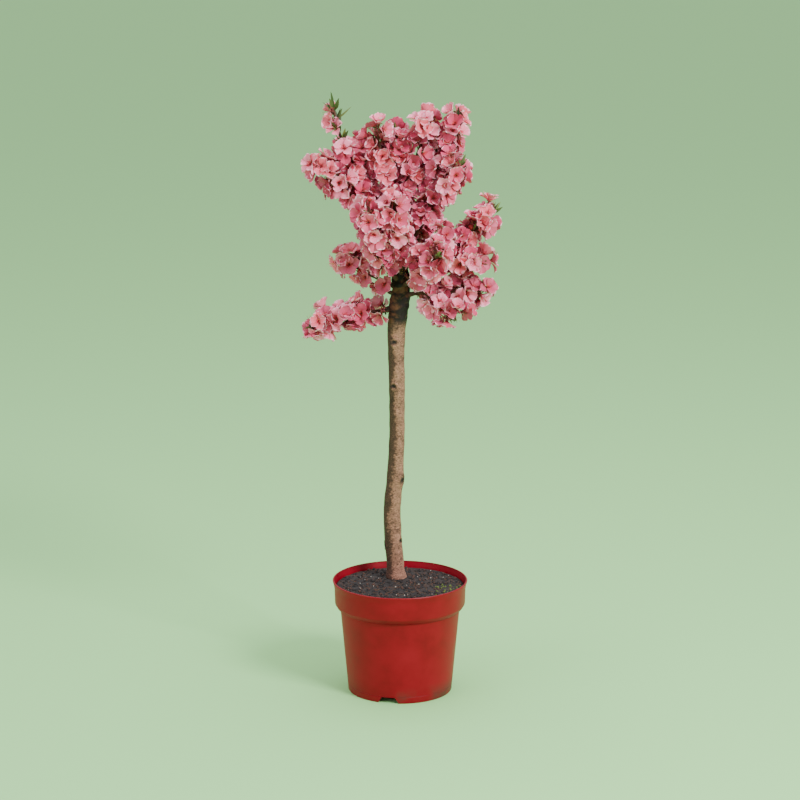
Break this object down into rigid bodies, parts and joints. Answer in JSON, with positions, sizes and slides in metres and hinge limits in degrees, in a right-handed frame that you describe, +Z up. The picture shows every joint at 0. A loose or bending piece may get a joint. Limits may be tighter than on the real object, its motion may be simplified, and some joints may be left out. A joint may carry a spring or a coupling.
{
  "type": "potted dwarf nectarine tree",
  "caption": "Small standard fruit tree in full pink blossom, on a bare leaning stem, growing in a round stepped nursery pot filled with soil.",
  "frame": {"origin": "on the ground, at the middle of the pot's foot, below the middle of the crown", "axes": "+Z up along the tree, -Y towards the front of the tree, +X to the right seen from the front"},
  "size_m": [0.2742, 0.234, 0.8492],
  "materials": {
    "pot_plastic": "moulded red polypropylene, slightly glossy, dusty near the foot",
    "soil": "dark crumbly potting soil with fibres and pale grit",
    "trunk_bark": "grey-brown bark with fine cross marks and knots",
    "bough_bark": "dark brown young bark",
    "blossom": "soft pink petals with deep crimson throats, and small green leaves"
  },
  "bodies": {
    "root": {"pot": "pot_plastic", "soil": "soil", "trunk": "trunk_bark", "bough_low_left": "bough_bark", "bough_mid_left": "bough_bark", "bough_upper_left": "bough_bark", "bough_centre": "bough_bark", "bough_upper_right": "bough_bark", "bough_right": "bough_bark", "bough_low_right": "bough_bark", "bough_front": "bough_bark", "bough_front_right": "bough_bark", "bough_front_left": "bough_bark", "bough_back": "bough_bark", "bough_back_left": "bough_bark", "bough_back_right": "bough_bark", "blossom_low_left": "blossom", "blossom_mid_left": "blossom", "blossom_upper_left": "blossom", "blossom_centre": "blossom", "blossom_upper_right": "blossom", "blossom_right": "blossom", "blossom_low_right": "blossom", "blossom_front": "blossom", "blossom_front_right": "blossom", "blossom_front_left": "blossom", "blossom_back": "blossom", "blossom_back_left": "blossom", "blossom_back_right": "blossom"}
  },
  "joints": []
}
